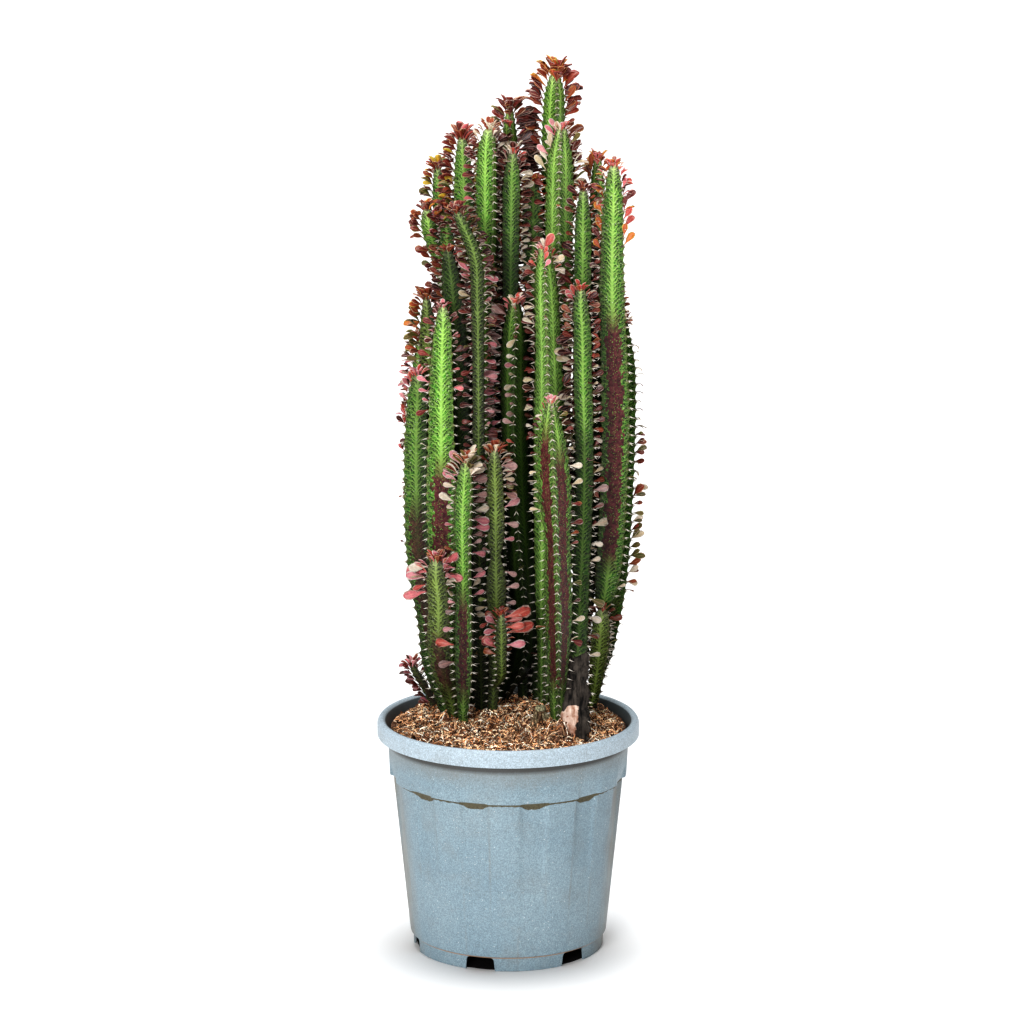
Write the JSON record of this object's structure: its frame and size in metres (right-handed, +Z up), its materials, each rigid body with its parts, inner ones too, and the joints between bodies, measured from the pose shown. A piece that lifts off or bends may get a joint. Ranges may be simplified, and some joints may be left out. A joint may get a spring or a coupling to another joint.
{
  "type": "potted euphorbia",
  "caption": "Clump of tall three-ridged euphorbia stems with spoon-shaped leaves, growing in bark mix in a round fluted grower's pot with foot slots.",
  "frame": {"origin": "middle of the pot's foot ring, on the ground", "axes": "+Z up along the pot's axis, front is -Y, +X to the viewer's right"},
  "size_m": [0.34, 0.34, 1.1603],
  "materials": {
    "pot_plastic": "moulded, matt, with fine pale specks",
    "bark_mix": "loose bark chips and coir fibre",
    "stem_skin": "waxy green skin with pale veins and maroon stripes",
    "trunk_wood": "dry, grey-brown bark",
    "leaf_skin": "thin fleshy leaves, red, maroon, pink and cream"
  },
  "bodies": {
    "root": {"pot": "pot_plastic", "soil": "bark_mix", "woody_stub": "trunk_wood", "stem_front_left": "stem_skin", "stem_low_left": "stem_skin", "stem_outer_left": "stem_skin", "stem_left": "stem_skin", "stem_left_inner": "stem_skin", "stem_middle": "stem_skin", "stem_centre": "stem_skin", "stem_front_tall": "stem_skin", "trunk_right": "stem_skin", "stem_right": "stem_skin", "stem_outer_right": "stem_skin", "stem_right_inner": "stem_skin", "stem_right_back": "stem_skin", "stem_top_broad": "stem_skin", "stem_top_slim": "stem_skin", "stem_inner": "stem_skin", "stem_top_left": "stem_skin", "stem_back_slim": "stem_skin", "stem_tallest": "stem_skin", "stem_upper_left": "stem_skin", "stem_leaning": "stem_skin", "stem_far_left": "stem_skin", "stem_left_low": "stem_skin", "shoot_far_left": "stem_skin", "stem_rear_left": "stem_skin", "stem_rear_centre": "stem_skin", "stem_rear_slim": "stem_skin", "stem_rear_tall": "stem_skin", "stem_rear_right": "stem_skin", "stem_rear_low": "stem_skin", "stem_far_left_back": "stem_skin", "branch_front": "stem_skin", "branch_right": "stem_skin", "branch_upper_left": "stem_skin", "branch_rear_outer": "stem_skin", "shoot_middle": "stem_skin", "stem_tallest_leaves": "leaf_skin", "stem_back_slim_leaves": "leaf_skin", "stem_upper_left_leaves": "leaf_skin", "stem_far_left_back_leaves": "leaf_skin", "stem_leaning_leaves": "leaf_skin", "stem_far_left_leaves": "leaf_skin", "stem_top_broad_leaves": "leaf_skin", "stem_right_leaves": "leaf_skin", "stem_right_back_leaves": "leaf_skin", "branch_right_leaves": "leaf_skin", "stem_outer_right_leaves": "leaf_skin", "stem_centre_leaves": "leaf_skin", "stem_left_low_leaves": "leaf_skin", "stem_outer_left_leaves": "leaf_skin", "stem_front_left_leaves": "leaf_skin", "stem_middle_leaves": "leaf_skin", "stem_low_left_leaves": "leaf_skin", "shoot_middle_leaves": "leaf_skin", "shoot_far_left_leaves": "leaf_skin", "stem_rear_tall_leaves": "leaf_skin"}
  },
  "joints": []
}
